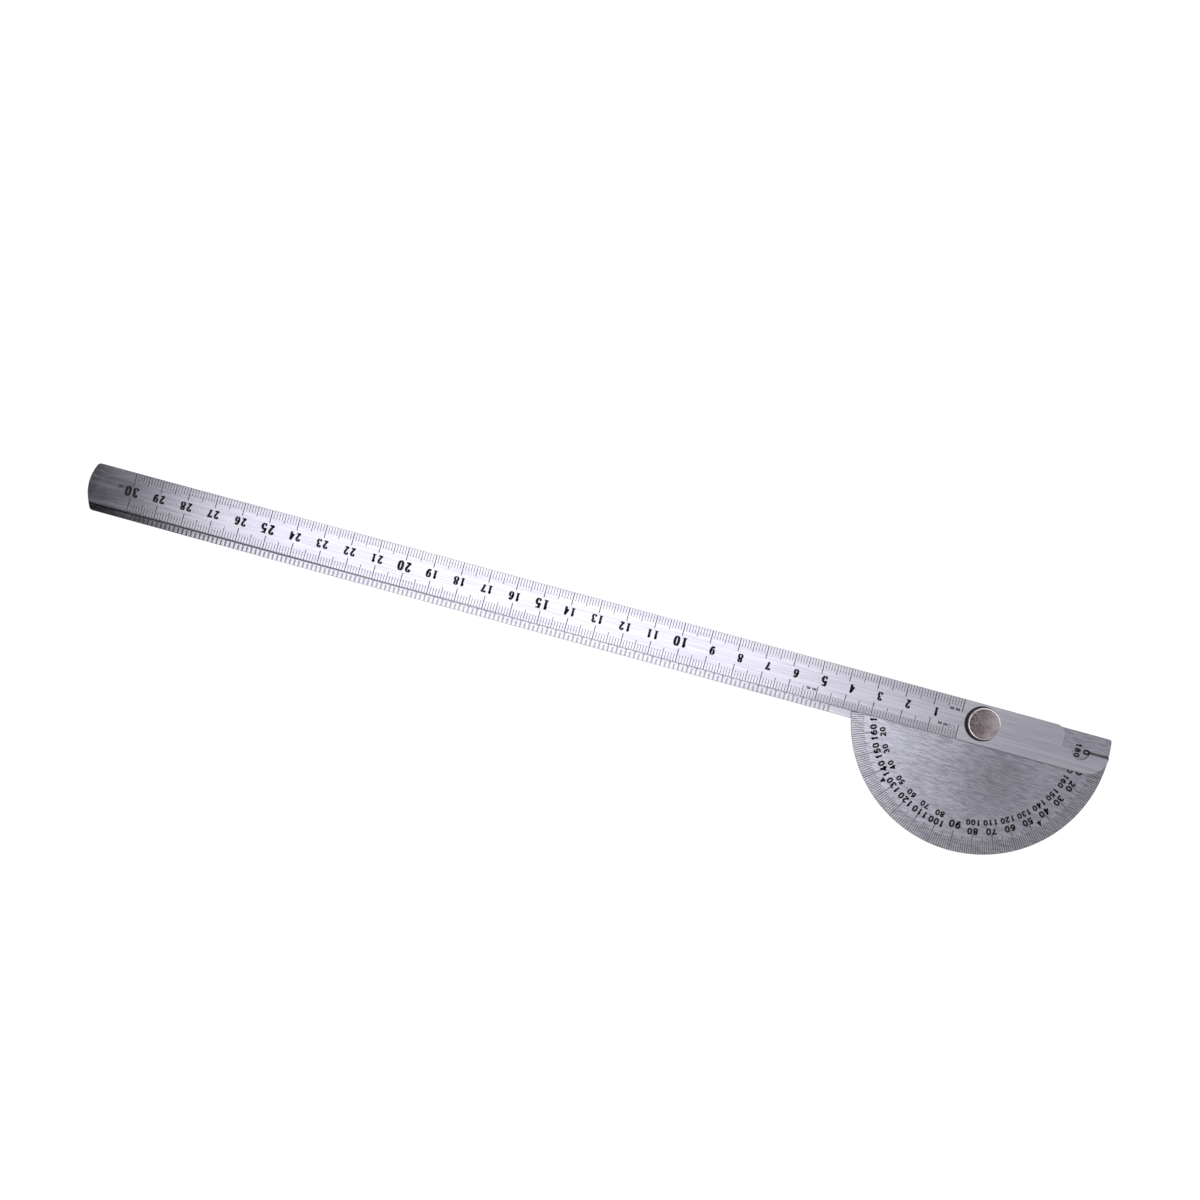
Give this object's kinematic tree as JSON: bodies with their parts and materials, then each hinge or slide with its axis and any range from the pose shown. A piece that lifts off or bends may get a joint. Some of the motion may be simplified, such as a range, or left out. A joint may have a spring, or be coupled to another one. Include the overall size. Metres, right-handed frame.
{
  "type": "angle ruler",
  "caption": "Folding steel angle ruler: a graduated arm with a pointer tail swings over a half round protractor plate on a clamping pivot, with a second arm fixed behind the plate.",
  "frame": {"origin": "on the pivot axis, at the lowest face, which is the underside of the pivot stud's head", "axes": "+X along the closed arms to their far end, +Y towards the half round of the plate, +Z along the pivot towards the thumb nut"},
  "size_m": [0.3685, 0.0518, 0.009],
  "materials": {
    "arm_steel": "brushed along the length",
    "plate_steel": "brushed",
    "pivot_steel": "turned",
    "nut_plating": "plated, satin top"
  },
  "bodies": {
    "base": {"rear_arm": "arm_steel", "protractor_plate": "plate_steel", "pivot_stud": "pivot_steel"},
    "swing_arm": {"front_arm": "arm_steel"},
    "washer": {"clamp_washer": "pivot_steel"},
    "nut": {"thumb_nut": "nut_plating"}
  },
  "joints": [
    {"name": "arm_swing", "type": "hinge", "parent": "base", "child": "swing_arm", "pos_m": [0, 0, 0.0037], "axis": [0, 0, -1], "continuous": true},
    {"name": "nut_lift", "type": "slide", "parent": "base", "child": "washer", "axis": [0, 0, 1], "range_m": [0, 0.0008]},
    {"name": "nut_turn", "type": "hinge", "parent": "washer", "child": "nut", "pos_m": [0, 0, 0.0068], "axis": [0, 0, 1], "range_deg": [0, 360]}
  ],
  "couplings": [
    {"joint": "nut_turn", "follows": "nut_lift", "rad_per_m": 7854}
  ]
}
